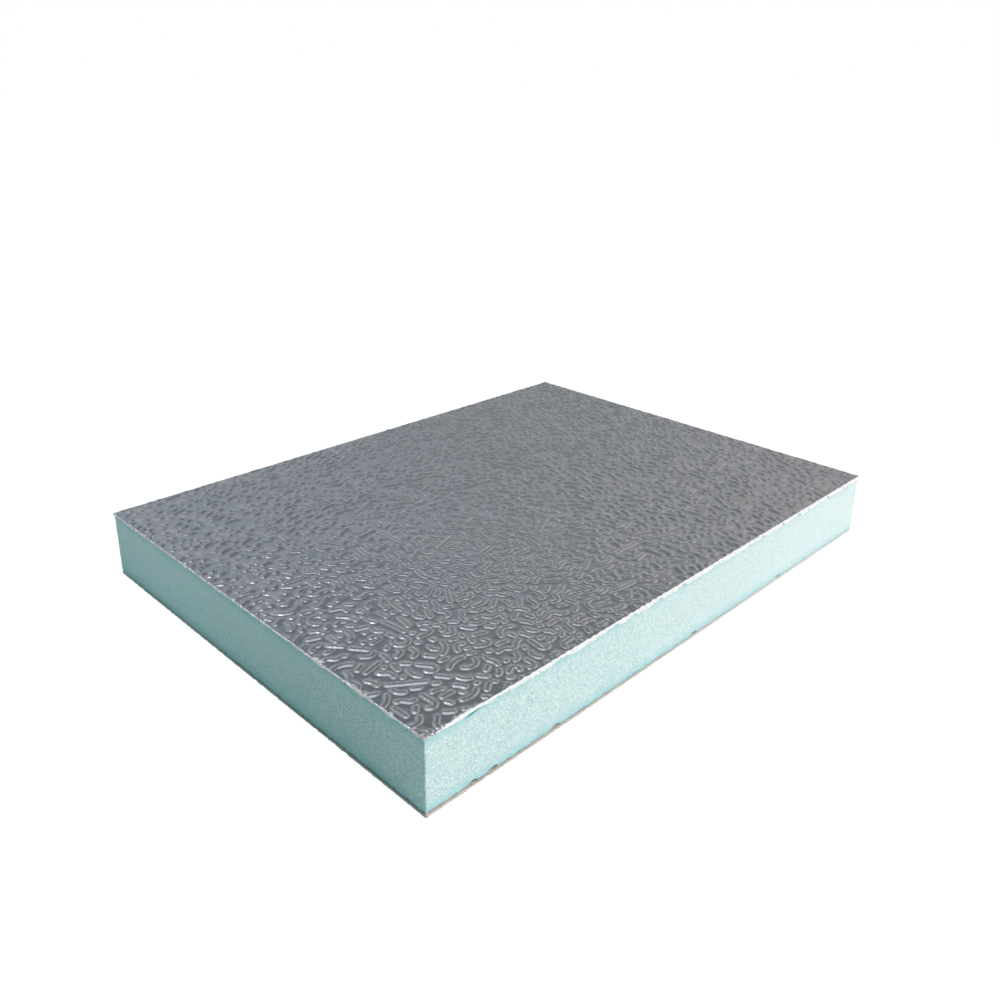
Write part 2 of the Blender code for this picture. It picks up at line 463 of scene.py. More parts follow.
def foil_outline():
    """The flat foil's edge, anticlockwise from the near end of its front edge."""
    right, back = FOIL_HIGH.x, FOIL_HIGH.y
    along = np.arange(LEFT_BEND, right, OUTLINE_POINT_SPACING)
    across = np.arange(back, FRONT_BEND, -OUTLINE_POINT_SPACING)
    front = np.stack([along, FRONT_BEND - front_edge(along)], axis=1)
    left = np.stack([LEFT_BEND - left_edge(across), across], axis=1)
    right_cut = np.arange(front[-1, 1], back, SHEET_POINT_SPACING)
    back_cut = np.arange(right, left[0, 0], -SHEET_POINT_SPACING)
    right_side = np.stack([np.full_like(right_cut, right), right_cut], axis=1)
    back_side = np.stack([back_cut, np.full_like(back_cut, back)], axis=1)
    share = np.linspace(0, 1, OUTLINE_CORNER_POINTS)[1:-1]
    angle = share * math.pi / 2
    outward = np.stack([np.cos(angle), np.sin(angle)], axis=1)
    round_corner = np.array([LEFT_BEND, FRONT_BEND]) - corner_edge(share)[:, None] * outward
    return np.vstack([front, right_side, back_side, left, round_corner])


def scattered(left, right, front, back, spacing, rng):
    """Points at about a spacing over a rectangle."""
    u, v = np.meshgrid(np.arange(left, right, spacing), np.arange(front, back, spacing))
    flat = np.stack([u.ravel(), v.ravel()], axis=1)
    return flat + rng.uniform(-SCATTER, SCATTER, flat.shape) * spacing


def triangulated(ridges):
    """The flat foil as points and triangles, with lines of points along every ridge."""
    rng = np.random.default_rng(RIDGE_SEED)
    outline = foil_outline()
    chunks, edges, count = [], [], 0
    for loop, is_own in ridges.loops():
        number = count + np.cumsum(is_own) - 1
        follows = is_own & np.roll(is_own, -1)
        edges.append(np.stack([number, np.roll(number, -1)], axis=1)[follows])
        chunks.append(loop[is_own])
        count += is_own.sum()
    field = scattered(LEFT_BEND, FOIL_HIGH.x, FRONT_BEND, FOIL_HIGH.y, FIELD_POINT_SPACING, rng)
    clear = [ridges.tree.find((u, v, 0))[2] > RIDGE_HALF_WIDTH[1] + FIELD_CLEARANCE for u, v in field]
    chunks.append(field[clear])
    past_left = LEFT_BEND - LEFT_GRAIN_REACH[0]
    past_front = FRONT_BEND - FRONT_GRAIN_REACH[0]
    before_left = LEFT_BEND + LEFT_GRAIN_REACH[1]
    before_front = FRONT_BEND + FRONT_GRAIN_REACH[1]
    front = scattered(past_left, FOIL_HIGH.x, past_front, before_front, LIP_GRAIN, rng)
    left = scattered(past_left, before_left, before_front, FOIL_HIGH.y, LIP_GRAIN, rng)
    grain = np.vstack([front, left])
    chunks.append(grain[room(grain) > LIP_GRAIN / 2])
    count = sum(len(chunk) for chunk in chunks)
    chunks.append(outline)
    face = list(range(count, count + len(outline)))
    points = np.vstack(chunks)
    made = delaunay_2d_cdt(points.tolist(), np.vstack(edges).tolist(), [face], 1, SAME_PLACE, False)
    flat = np.array([tuple(place) for place in made[0]])
    triangles = np.array(made[2])
    triangles = triangles[room(flat[triangles].mean(axis=1)) > 0]
    used, triangles = np.unique(triangles, return_inverse=True)
    return flat[used], triangles.reshape(-1, 3)


def rolled(flat, height, slope):
    """Bends the sheet down over its two near sides: its points, its outward directions and its normals."""
    u, v = flat.T
    past = np.stack([np.maximum(LEFT_BEND - u, 0), np.maximum(FRONT_BEND - v, 0)], axis=1)
    reach = np.linalg.norm(past, axis=1)
    angle = np.minimum(reach / BEND_RADIUS, math.pi / 2)[:, None]
    down = BEND_RADIUS * (1 - np.cos(angle[:, 0])) + np.maximum(reach - BEND_LENGTH, 0)
    aside = np.where(reach[:, None] > 0, -past / np.maximum(reach, 1e-9)[:, None], (1, 0))
    turned = np.stack([-aside[:, 1], aside[:, 0]], axis=1)
    base = np.column_stack([np.maximum(flat, (LEFT_BEND, FRONT_BEND)), SHEET_HEIGHT - down])
    base[:, :2] += BEND_RADIUS * np.sin(angle) * aside
    outward = np.column_stack([np.sin(angle) * aside, np.cos(angle)])
    along_aside = np.column_stack([np.cos(angle) * aside, -np.sin(angle)])
    along_turned = np.column_stack([turned, 0 * reach])
    normals = outward - (slope * aside).sum(axis=1)[:, None] * along_aside
    normals -= (slope * turned).sum(axis=1)[:, None] * along_turned
    normals /= np.linalg.norm(normals, axis=1)[:, None]
    return base + height[:, None] * outward, outward, normals


def crumple(flat):
    """How the saw crumpled the torn edges: up before the bend and inwards past it."""
    u, v = flat.T
    past = np.maximum(LEFT_BEND - u, FRONT_BEND - v)
    folds = 1 - np.abs(Wave(EDGE_SEED + 2, CRUMPLE_FOLD_WAVELENGTH)(u, v))
    grain = Wave(EDGE_SEED + 3, CRUMPLE_GRAIN_WAVELENGTH)(u, v)
    pressed = PRESSED_DEPTH + PRESSED_FOLDS * folds + PRESSED_GRAIN * grain
    pressed = pressed + PRESSED_RIM * smooth_step(*PRESSED_RIM_START, past)
    pressed = smooth_step(*PRESSED_START, past) * np.clip(pressed, 0, PRESSED_MOST)
    raised = np.clip(RAISED_FOLDS * folds + RAISED_GRAIN * grain, 0, 1)
    raised = torn(flat) * smooth_step(*RAISED_END, past) * raised
    corner = np.hypot(u - LEFT_BEND, v - FRONT_BEND) / CORNER_CRUMPLE_REACH
    corner_wave = Wave(EDGE_SEED + 6, CORNER_CRUMPLE_WAVELENGTH)
    raised += CORNER_CRUMPLE_HEIGHT * np.exp(-(corner**2)) * np.maximum(corner_wave(u, v), 0)
    return raised - pressed


def unevenness(flat):
    """The sheet's slow sway and its crumpled edges."""
    u, v = flat.T
    near_edge = np.maximum(np.maximum(LEFT_BEND - u, FRONT_BEND - v), v - FOIL_HIGH.y) > -CRUMPLE_REACH
    height = SHEET_SWAY * Wave(EDGE_SEED + 4, SHEET_SWAY_WAVELENGTH, count=6)(u, v) - SHEET_SWAY
    height[near_edge] += crumple(flat[near_edge])
    return height


def slope_of(surface, flat):
    """A surface's slopes along u and v."""
    steps = np.array([(SLOPE_STEP, 0), (0, SLOPE_STEP)])
    rises = [surface(flat + step) - surface(flat - step) for step in steps]
    return np.stack(rises, axis=1) / (2 * SLOPE_STEP)


def with_cut_edges(flat, places, outward, triangles):
    """Adds the thickness that shows along the sheet's edge, as a strip turned in from it."""
    sides = np.vstack([triangles[:, [0, 1]], triangles[:, [1, 2]], triangles[:, [2, 0]]])
    key = np.sort(sides, axis=1)
    _, first, times = np.unique(key, axis=0, return_index=True, return_counts=True)
    rim = sides[first[times == 1]]
    rim_points = np.unique(rim)
    number = np.zeros(len(flat), int)
    number[rim_points] = len(flat) + np.arange(len(rim_points))
    inner = places[rim_points] - FOIL_EDGE * outward[rim_points]
    u, v = flat[rim_points].T
    at_right = u > FOIL_HIGH.x - RIM_TOLERANCE
    at_back = v > FOIL_HIGH.y - RIM_TOLERANCE
    on_top = (u > LEFT_BEND) & (v > FRONT_BEND)
    inner[(at_right | at_back) & on_top, 2] = SHEET_HEIGHT - FOIL_EDGE
    start, end = rim.T
    first_half = np.stack([end, start, number[start]], axis=1)
    second_half = np.stack([end, number[start], number[end]], axis=1)
    strip = np.vstack([first_half, second_half])
    beyond = np.zeros((len(rim_points), 2))
    beyond[at_right, 0] = FOIL_EDGE
    beyond[at_back, 1] = FOIL_EDGE
    beyond[v < FRONT_BEND, 1] = -FOIL_EDGE
    beyond[u < LEFT_BEND, 0] = -FOIL_EDGE
    flat = np.vstack([flat, flat[rim_points] + beyond])
    return flat, np.vstack([places, inner]), np.vstack([triangles, strip])


def mesh_object(name, places, triangles, normals, material, attributes, layout):
    """A mesh piece from arrays, with its own normals, point values and bake map."""
    used, faces = np.unique(triangles, return_inverse=True)
    faces = faces.reshape(-1, 3)
    mesh = bpy.data.meshes.new(name)
    mesh.vertices.add(len(used))
    mesh.vertices.foreach_set("co", places[used].astype(np.float32).ravel())
    mesh.loops.add(faces.size)
    mesh.loops.foreach_set("vertex_index", faces.astype(np.int32).ravel())
    mesh.polygons.add(len(faces))
    mesh.polygons.foreach_set("loop_start", np.arange(0, faces.size, 3, dtype=np.int32))
    mesh.update(calc_edges=True)
    for key, values in attributes.items():
        layer = mesh.attributes.new(key, "FLOAT", "POINT")
        layer.data.foreach_set("value", values[used].astype(np.float32))
    corners = layout[used][faces].reshape(-1, 2)
    low, high = corners.min(axis=0), corners.max(axis=0)
    bake_map = mesh.uv_layers.new(name="OFBake")
    bake_map.data.foreach_set("uv", ((corners - low) / (high - low)).astype(np.float32).ravel())
    mesh.polygons.foreach_set("use_smooth", np.ones(len(faces), bool))
    mesh.normals_split_custom_set(normals.reshape(-1, 3).tolist())
    mesh.materials.append(material)
    thing = bpy.data.objects.new(name, mesh)
    bpy.context.scene.collection.objects.link(thing)
    return thing


def build_foil(material):
    """The foil in a few tiles side by side, which share their normals along the joins."""
    ridges = Ridges()
    flat, triangles = triangulated(ridges)
    relief, relief_slope = ridges.relief(flat)
    height = np.minimum(relief + unevenness(flat), RIDGE_HEIGHT)
    places, outward, sheet_normals = rolled(flat, height, relief_slope + slope_of(unevenness, flat))
    sheet_count = len(triangles)
    flat, places, triangles = with_cut_edges(flat, places, outward, triangles)
    places = np.clip(places, np.array(FOIL_LOW), np.array(FOIL_HIGH))
    normals = np.zeros((len(triangles), 3, 3))
    normals[:sheet_count] = sheet_normals[triangles[:sheet_count]]
    a, b, c = (places[triangles[sheet_count:, corner]] for corner in range(3))
    facing = np.cross(b - a, c - a)
    normals[sheet_count:] = (facing / np.maximum(np.linalg.norm(facing, axis=1), 1e-20)[:, None])[:, None]
    values = {"torn": torn(flat)}
    middle = flat[triangles][:, :, 0].mean(axis=1)
    bounds = np.linspace(FOIL_LOW.x, FOIL_HIGH.x, FOIL_TILES + 1)
    bounds[0] -= 1
    bounds[-1] += 1
    for index in range(FOIL_TILES):
        chosen = (middle >= bounds[index]) & (middle < bounds[index + 1])
        name = f"foil_sheet_{index + 1}"
        tile = mesh_object(name, places, triangles[chosen], normals[chosen], material, values, flat)
        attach(tile, "root")
        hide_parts("foil_facing")


class Nodes:
    """A node tree, with short calls to add nodes and their links."""

    def __init__(self, tree, place):
        self.tree = tree
        self.place = self.add("ShaderNodeTexCoord").outputs[place]

    def add(self, kind, **values):
        """A node with settings by attribute name, and inputs by their place or name."""
        node = self.tree.nodes.new(kind)
        for key, value in values.items():
            if key != "inputs":
                setattr(node, key, value)
        for key, value in values.get("inputs", {}).items():
            self.feed(node.inputs[key], value)
        return node

    def feed(self, socket, value):
        if isinstance(value, bpy.types.NodeSocket):
            self.tree.links.new(value, socket)
        else:
            socket.default_value = value

    def math(self, operation, first, second):
        inputs = {0: first, 1: second}
        return self.add("ShaderNodeMath", operation=operation, inputs=inputs).outputs["Value"]

    def vector(self, operation, first, second, output="Vector"):
        inputs = {0: first, 1: second}
        return self.add("ShaderNodeVectorMath", operation=operation, inputs=inputs).outputs[output]

    def ramp(self, value, low, high, to_low=0.0, to_high=1.0, smooth=True):
        kind = "SMOOTHSTEP" if smooth else "LINEAR"
        inputs = {"Value": value, "From Min": low, "From Max": high, "To Min": to_low, "To Max": to_high}
        return self.add("ShaderNodeMapRange", interpolation_type=kind, inputs=inputs).outputs["Result"]

    def mix(self, share, first, second, blend="MIX"):
        inputs = {0: share, 6: first, 7: second}
        return self.add("ShaderNodeMix", data_type="RGBA", blend_type=blend, inputs=inputs).outputs[2]

    def blend(self, share, first, second):
        """A mix of two shaders."""
        return self.add("ShaderNodeMixShader", inputs={0: share, 1: first, 2: second}).outputs[0]

    def axis(self, name):
        return self.add("ShaderNodeSeparateXYZ", inputs={0: self.place}).outputs[name]


class Shader(Nodes):
    """A procedural material of one Principled surface."""

    def __init__(self, name):
        self.material = bpy.data.materials.new(name)
        self.material.use_nodes = True
        self.surface = self.material.node_tree.nodes["Principled BSDF"]
        super().__init__(self.material.node_tree, "Object")

    def noise(self, wavelength, detail=2.0, roughness=0.5, place=None, distortion=0.0):
        inputs = {
            "Vector": place or self.place,
            "Scale": 1 / wavelength,
            "Detail": detail,
            "Roughness": roughness,
            "Distortion": distortion,
        }
        return self.add("ShaderNodeTexNoise", inputs=inputs).outputs["Fac"]

    def cells(self, wavelength, output="Distance"):
        inputs = {"Vector": self.place, "Scale": 1 / wavelength}
        return self.add("ShaderNodeTexVoronoi", inputs=inputs).outputs[output]

    def cell_number(self, wavelength, channel):
        """A number of its own for each cell."""
        inputs = {0: self.cells(wavelength, "Color")}
        return self.add("ShaderNodeSeparateColor", inputs=inputs).outputs[channel]

    def from_corner(self):
        """The distance from the near corner."""
        return self.vector("DISTANCE", self.place, tuple(NEAR_CORNER), "Value")

    def stretched(self, x, y, z):
        inputs = {"Vector": self.place, "Scale": (x, y, z)}
        return self.add("ShaderNodeMapping", inputs=inputs).outputs["Vector"]

    def point_value(self, name):
        return self.add("ShaderNodeAttribute", attribute_name=name).outputs["Fac"]

    def bump(self, height, distance, strength, normal=None):
        inputs = {"Height": height, "Distance": distance, "Strength": strength}
        if normal is not None:
            inputs["Normal"] = normal
        return self.add("ShaderNodeBump", inputs=inputs).outputs["Normal"]

    def set(self, **values):
        for key, value in values.items():
            self.feed(self.surface.inputs[key.replace("_", " ").title()], value)


def rgb(red, green, blue):
    return (red, green, blue, 1.0)


# The patterns of the surfaces: their sizes, and how deep those are that make the surface uneven
FOIL_PATCHES = 0.018
FOIL_STREAKS = 0.0012
FOIL_DULL_SPOTS = 0.0016
FOIL_CRINKLES = 0.0008
FOIL_CRINKLE_DEPTH = 0.00005
FOIL_GRAIN = 0.00016
FOIL_GRAIN_DEPTH = 0.000012
FOAM_CLOUDS = 0.007
FOAM_CELLS = 0.00030
FOAM_DENTS = 0.00045
FOAM_DENT_DEPTH = 0.00010
FOAM_GRAIN = 0.00022
FOAM_GRAIN_DEPTH = 0.00007
# The pinholes, which are painted dark teal as painted shade inside them
PORE_SPACING = 0.0013
FELT_PATCHES = 0.006
FELT_FIBRES = 0.0005
FELT_FIBRE_DEPTH = 0.00015

# Where the far surfaces get duller or lighter, by the distance from the near corner. The foil's dulling is
# roughness; the foam and the felt are painted lighter there, and the foam's bands weaker, as painted light
FOIL_DULLS = (0.07, 0.21)
FOAM_PAINTED_LIGHT = (0.02, 0.20)
BAND_PAINTED_LIGHT = (0.05, 0.20)
FELT_PAINTED_LIGHT = (0.03, 0.20)

# Where the torn foil turns white about the foam's left side, and where that side is painted lighter
# towards the back, as painted light
WHITE_BEFORE = 0.0002
WHITE_PAST = 0.0012
PALE_FROM_FRONT = 0.01
PALE_FROM_BACK = 0.03

# The darker bands along the foam's upper and lower edges, from outside the foam to inside it
TOP_BAND = (0.0010, 0.0028)
FOOT_BAND = (0.0012, 0.0030)
BAND_WAVELENGTH = 0.004
BAND_SWAY = 0.0018


def foil_material():
    shader = Shader("embossed_foil")
    torn = shader.point_value("torn")
    patches = shader.noise(FOIL_PATCHES, 3)
    streaks = shader.noise(FOIL_STREAKS, 3, 0.6, shader.stretched(0.06, 1, 1))
    crinkles = shader.noise(FOIL_CRINKLES, 3, 0.55)
    grain = shader.noise(FOIL_GRAIN, 2)
    colour = shader.mix(patches, rgb(0.74, 0.75, 0.77), rgb(0.82, 0.81, 0.80))
    colour = shader.mix(shader.math("MULTIPLY", streaks, 0.35), colour, rgb(0.68, 0.68, 0.70))
    scuffed = shader.mix(shader.ramp(crinkles, 0.35, 0.65), rgb(0.90, 0.90, 0.91), rgb(1.0, 1.0, 1.0))
    colour = shader.mix(torn, colour, scuffed)
    rough = shader.ramp(shader.noise(FOIL_DULL_SPOTS, 3), 0.3, 0.7, 0.12, 0.18)
    rough = shader.math("ADD", rough, shader.ramp(shader.from_corner(), *FOIL_DULLS, 0, 0.13))
    rough = shader.math("ADD", rough, shader.math("MULTIPLY", torn, 0.24))
    normal = shader.bump(grain, FOIL_GRAIN_DEPTH, 0.5)
    normal = shader.bump(crinkles, FOIL_CRINKLE_DEPTH, 0.6, normal)
    shader.set(base_color=colour, roughness=rough, normal=normal)
    left = FOAM_LOW.x
    by_left_edge = shader.ramp(shader.axis("X"), left - WHITE_BEFORE, left + WHITE_PAST, 0.35, 0.95)
    shader.set(metallic=shader.math("SUBTRACT", 1.0, shader.math("MULTIPLY", torn, by_left_edge)))
    return shader.material


def foam_material():
    shader = Shader("cut_foam")
    height = shader.axis("Z")
    cell = shader.cell_number(FOAM_CELLS, 0)
    fine = shader.noise(FOAM_GRAIN, 3, 0.7)
    cloud = shader.noise(FOAM_CLOUDS, 3)
    speckle = shader.math("ADD", shader.math("MULTIPLY", cell, 0.5), shader.math("MULTIPLY", fine, 0.5))
    colour = shader.mix(shader.ramp(speckle, 0.28, 0.72), rgb(0.43, 0.60, 0.61), rgb(0.77, 0.88, 0.86))
    colour = shader.mix(shader.math("MULTIPLY", cloud, 0.45), colour, rgb(0.55, 0.75, 0.755))
    from_corner = shader.from_corner()
    # Painted light: the foam is painted lighter away from the near corner
    colour = shader.mix(shader.ramp(from_corner, *FOAM_PAINTED_LIGHT, 0, 0.5), colour, rgb(0.80, 0.87, 0.885))
    # Painted light: the foam is painted lighter towards the back, along its left side
    front, back = FOAM_LOW.y, FOAM_HIGH.y
    painted_light_to_back = shader.ramp(shader.axis("Y"), front + PALE_FROM_FRONT, back - PALE_FROM_BACK, 0, 0.5)
    colour = shader.mix(painted_light_to_back, colour, rgb(0.76, 0.95, 0.96))
    sway = shader.math("MULTIPLY", shader.noise(BAND_WAVELENGTH, 3), BAND_SWAY)
    top, foot = FOAM_HIGH.z, FOAM_LOW.z
    near_top = shader.ramp(shader.math("ADD", height, sway), top - TOP_BAND[1], top + TOP_BAND[0])
    near_foot = shader.ramp(
        shader.math("SUBTRACT", height, sway), foot - FOOT_BAND[0], foot + FOOT_BAND[1], 1, 0
    )
    near_facing = shader.math("MAXIMUM", near_top, near_foot)
    # Painted light: the dark bands are painted weaker away from the near corner
    band = shader.math("MULTIPLY", near_facing, shader.ramp(from_corner, *BAND_PAINTED_LIGHT, 0.75, 0.42))
    colour = shader.mix(band, colour, rgb(0.34, 0.65, 0.68))
    # Painted shade: the pinholes, the chips and the nick are painted dark teal for the shade inside them
    pore_size = shader.ramp(shader.cell_number(PORE_SPACING, 1), 0.5, 1, 0, 0.20, smooth=False)
    painted_hole_shade = shader.math("LESS_THAN", shader.cells(PORE_SPACING), pore_size)
    painted_hole_shade = shader.math("MAXIMUM", shader.math("MULTIPLY", painted_hole_shade, 0.8), shader.point_value("cut"))
    colour = shader.mix(painted_hole_shade, colour, rgb(0.08, 0.34, 0.37))
    normal = shader.bump(shader.cells(FOAM_DENTS), FOAM_DENT_DEPTH, 0.6)
    normal = shader.bump(fine, FOAM_GRAIN_DEPTH, 0.6, normal)
    rough = shader.ramp(fine, 0.3, 0.7, 0.82, 0.95)
    shader.set(base_color=colour, roughness=rough, normal=normal)
    return shader.material


def felt_material():
    shader = Shader("felt_facing")
    fibres = shader.noise(FELT_FIBRES, 4, 0.65, shader.stretched(0.25, 1, 1), 1.5)
    crossing = shader.noise(FELT_FIBRES, 4, 0.65, shader.stretched(1, 0.25, 1), 1.5)
    weave = shader.math("MAXIMUM", fibres, crossing)
    patches = shader.noise(FELT_PATCHES, 3)
    colour = shader.mix(shader.ramp(weave, 0.45, 0.75), rgb(0.44, 0.40, 0.35), rgb(0.84, 0.78, 0.70))
    colour = shader.mix(shader.math("MULTIPLY", patches, 0.4), colour, rgb(0.56, 0.52, 0.46))
    # Painted light: the felt is painted lighter away from the near corner
    painted_far_light = shader.ramp(shader.from_corner(), *FELT_PAINTED_LIGHT, 0, 0.6)
    colour = shader.mix(painted_far_light, colour, rgb(0.74, 0.76, 0.76))
    normal = shader.bump(weave, FELT_FIBRE_DEPTH, 0.7)
    shader.set(base_color=colour, roughness=shader.ramp(weave, 0.3, 0.8, 0.85, 0.98), normal=normal)
    return shader.material


# The foam's and the felt's cut sides
SIDE_COLUMN = 0.0005
SIDE_CORNER = 0.00035
FINE_ROW = 0.00015
FINE_REACH = 0.0024
COARSE_ROW = 0.0006
CORNER_POINTS = 5
FRONT_FACING = 0.9
SHARP_ANGLE = math.radians(50)
FOAM_WAVES = ((0.00003, 0.004), (0.00002, 0.0012))
FOAM_SEED = 21
FOOT_WORN = 0.00010
FOOT_WORN_REACH = 0.0002
FOOT_RAGGED = 0.00022
FOOT_RAGGED_REACH = 0.0005
FOOT_RAGGED_WAVELENGTH = 0.0021
TOP_WORN = 0.00006
TOP_WORN_REACH = 0.0003
FELT_ROWS = 6
FELT_FRAY = 0.00015
FELT_FRAY_WAVELENGTHS = (0.0016, 0.0005)
FELT_SEED = 31
EDGE_CHIPS = (0.0139, 0.0204, 0.0419, 0.1015, 0.1490)
CHIP_HALF_LENGTH = 0.0016
CHIP_HEIGHT = 0.0008
CHIP_DEPTH = 0.0010
# Painted shade inside the chips
CHIP_PAINTED_SHADE = 0.7
NICK_PLACE = 0.0139
NICK_BELOW_FOAM_TOP = 0.0012
NICK_HALF_LENGTH = 0.0027
NICK_HALF_WIDTH = 0.00036
NICK_DEPTH = 0.0005
# Painted shade inside the nick
NICK_PAINTED_SHADE = 1.8
NICK_TILT = math.radians(8)

# The gap under the foam closes between two distances from the near corner
GAP_CLOSED = 0.0002
GAP_CLOSES = (0.02, 0.12)
FOOT_ROW_TOLERANCE = 0.00001


def perimeter(low, high, radius, spacing):
    """Points and outward directions round a rectangle with small round corners, anticlockwise."""
    left, right = low.x + radius, high.x - radius
    front, back = low.y + radius, high.y - radius
    centres = np.array([(right, front), (right, back), (left, back), (left, front)])
    places, outward = [], []
    for quarter, centre in enumerate(centres):
        after = centres[(quarter + 1) % 4]
        turns = np.radians(np.linspace(-90, 0, CORNER_POINTS) + 90 * quarter)
        arc = np.stack([np.cos(turns), np.sin(turns)], axis=1)
        count = round(math.dist(centre, after) / spacing)
        run = centre + np.linspace(0, 1, count + 1)[1:-1, None] * (after - centre)
        places += [centre + radius * arc, run + radius * arc[-1]]
        outward += [arc, np.repeat(arc[-1:], len(run), axis=0)]
    return np.vstack(places), np.vstack(outward)


def wall(name, low, high, heights, sunk, material):
    """A cut slab: a wall of fine columns and rows round it, pushed in by sunk, and flat ends."""
    ring, outward = perimeter(low, high, SIDE_CORNER, SIDE_COLUMN)
    columns, rows = len(ring), len(heights)
    places = np.zeros((rows, columns, 3))
    places[:, :, :2] = ring
    places[:, :, 2] = np.array(heights)[:, None]
    sides = np.zeros((rows, columns, 3))
    sides[:, :, :2] = outward
    depth, cut, drop = sunk(places, sides)
    places -= sides * depth[:, :, None]
    places[:, :, 2] -= drop
    number = np.arange(rows * columns).reshape(rows, columns)
    after = np.roll(number, -1, axis=1)
    quads = np.stack([number[:-1], after[:-1], after[1:], number[1:]], axis=-1).reshape(-1, 4)
    faces = quads.tolist() + [number[0, ::-1].tolist(), number[-1].tolist()]
    mesh = bpy.data.meshes.new(name)
    mesh.from_pydata(places.reshape(-1, 3).tolist(), [], faces)
    # The painted shade in the chips and the nick, kept as a point value
    layer = mesh.attributes.new("cut", "FLOAT", "POINT")
    layer.data.foreach_set("value", cut.ravel().astype(np.float32))
    mesh.shade_smooth()
    mesh.set_sharp_from_angle(angle=SHARP_ANGLE)
    mesh.materials.append(material)
    thing = bpy.data.objects.new(name, mesh)
    bpy.context.scene.collection.objects.link(thing)
    return thing


def row_heights(low, high):
    """Rows that are close together near the two edges and wider between them."""
    foot = np.arange(0, FINE_REACH, FINE_ROW)
    middle = np.arange(FINE_REACH, high - low - FINE_REACH, COARSE_ROW)
    return low + np.concatenate([foot, middle, (high - low - foot)[::-1]])


def far_share(x, y):
    """From 0 near the near corner to 1 far from it."""
    return smooth_step(*GAP_CLOSES, np.hypot(x - NEAR_CORNER.x, y - NEAR_CORNER.y))


def foam_sunk(places, sides):
    """How far the foam's cut sides lie inside the block, the painted shade in chips and nick, and how far
    rows drop.
    """
    x, y, z = np.moveaxis(places, -1, 0)
    depth = 0 * x
    for number, (reach, wavelength) in enumerate(FOAM_WAVES):
        depth = depth + reach * (1 + Wave(FOAM_SEED + number, wavelength, axes=3)(x, y, z))
    from_foot = z - FOAM_LOW.z
    from_top = FOAM_HIGH.z - z
    ragged_wave = Wave(FOAM_SEED + 2, FOOT_RAGGED_WAVELENGTH, axes=3)
    ragged = FOOT_RAGGED * np.clip(0.4 + 0.6 * ragged_wave(x, y, 0 * z), 0, 1)
    worn = FOOT_WORN * np.exp(-from_foot / FOOT_WORN_REACH)
    depth += worn + ragged * np.exp(-from_foot / FOOT_RAGGED_REACH)
    depth += TOP_WORN * np.exp(-np.maximum(from_top, 0) / TOP_WORN_REACH)
    along = x - NEAR_CORNER.x
    on_front = sides[:, :, 1] < -FRONT_FACING
    # Painted shade inside the chips and the nick
    cut = np.zeros_like(depth)
    for place in EDGE_CHIPS:
        bowl = 1 - ((along - place) / CHIP_HALF_LENGTH) ** 2 - (from_foot / CHIP_HEIGHT) ** 2
        bite = on_front * np.clip(bowl, 0, 1)
        depth += CHIP_DEPTH * bite
        cut = np.maximum(cut, CHIP_PAINTED_SHADE * bite)
    rise = z - (FOAM_HIGH.z - NICK_BELOW_FOAM_TOP)
    lengthwise = (along - NICK_PLACE) * math.cos(NICK_TILT) + rise * math.sin(NICK_TILT)
    across = rise * math.cos(NICK_TILT) - (along - NICK_PLACE) * math.sin(NICK_TILT)
    slit = 1 - (lengthwise / NICK_HALF_LENGTH) ** 2 - (across / NICK_HALF_WIDTH) ** 2
    slit = on_front * np.clip(slit, 0, 1)
    cut = np.maximum(cut, np.minimum(NICK_PAINTED_SHADE * slit, 1))
    drop = GAP_CLOSED * (from_foot < FOOT_ROW_TOLERANCE) * far_share(x, y)
    return np.maximum(depth, 0) + NICK_DEPTH * slit, cut, drop


def felt_sunk(places, sides):
    """The frayed edge of the felt."""
    x, y, z = np.moveaxis(places, -1, 0)
    broad, fine = (
        Wave(FELT_SEED + number, wavelength, axes=3)(x, y, z)
        for number, wavelength in enumerate(FELT_FRAY_WAVELENGTHS)
    )
    frayed = 0.5 + 0.5 * broad + 0.3 * fine
    return FELT_FRAY * np.clip(frayed, 0, 1.4), 0 * x, 0 * x


def build_foam(material):
    heights = row_heights(FOAM_LOW.z, SHEET_HEIGHT - FOIL_EDGE / 2)
    foam = wall("foam_block", FOAM_LOW, FOAM_HIGH, heights, foam_sunk, material)
    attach(foam, "root")
    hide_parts("foam_core")


def build_felt(material):
    heights = np.linspace(FELT_LOW.z, FELT_HIGH.z, FELT_ROWS)
    felt = wall("felt_sheet", FELT_LOW, FELT_HIGH, heights, felt_sunk, material)
    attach(felt, "root")
    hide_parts("lower_facing")


# The studio
FLOOR_SIZE = 16.0
FLOOR_BELOW = 0.00005
FLOOR_PALE = rgb(0.62, 0.65, 0.66)
FLOOR_GLOW = 1.36
FLOOR_GLOW_SHARE = 0.7
FLOOR_IN_GLOSS = rgb(0.50, 0.475, 0.455)
AMBIENT = rgb(0.276, 0.400, 0.402)
VIEW_AZIMUTH = math.radians(45)

